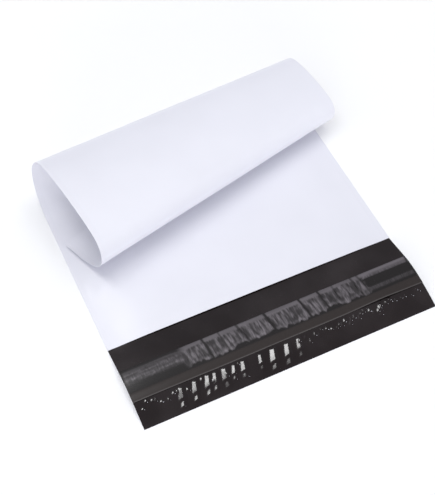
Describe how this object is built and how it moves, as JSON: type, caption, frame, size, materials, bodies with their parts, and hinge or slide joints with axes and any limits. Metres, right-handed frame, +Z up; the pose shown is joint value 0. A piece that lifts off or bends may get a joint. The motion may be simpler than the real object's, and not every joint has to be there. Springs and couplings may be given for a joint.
{
  "type": "poly mailer bag",
  "caption": "Flat white film mailing bag lying open on its back, closed end rolled over, black flap with adhesive strip under a peel liner.",
  "frame": {"origin": "middle of the footprint, on the surface that the bag lies on", "axes": "+Z up, +Y from the flap's free edge towards the rolled end, +X across the bag to its right, seen from the flap"},
  "size_m": [0.1618, 0.1638, 0.0331],
  "materials": {
    "film": "semi-gloss coextruded polyethylene film, white outside and black inside",
    "adhesive": "clear hot-melt glue over black film, mottled where the liner lifts off it",
    "liner": "thin translucent release film, satin"
  },
  "bodies": {
    "root": {"bag_film": "film", "adhesive_strip": "adhesive", "release_liner": "liner"}
  },
  "joints": []
}
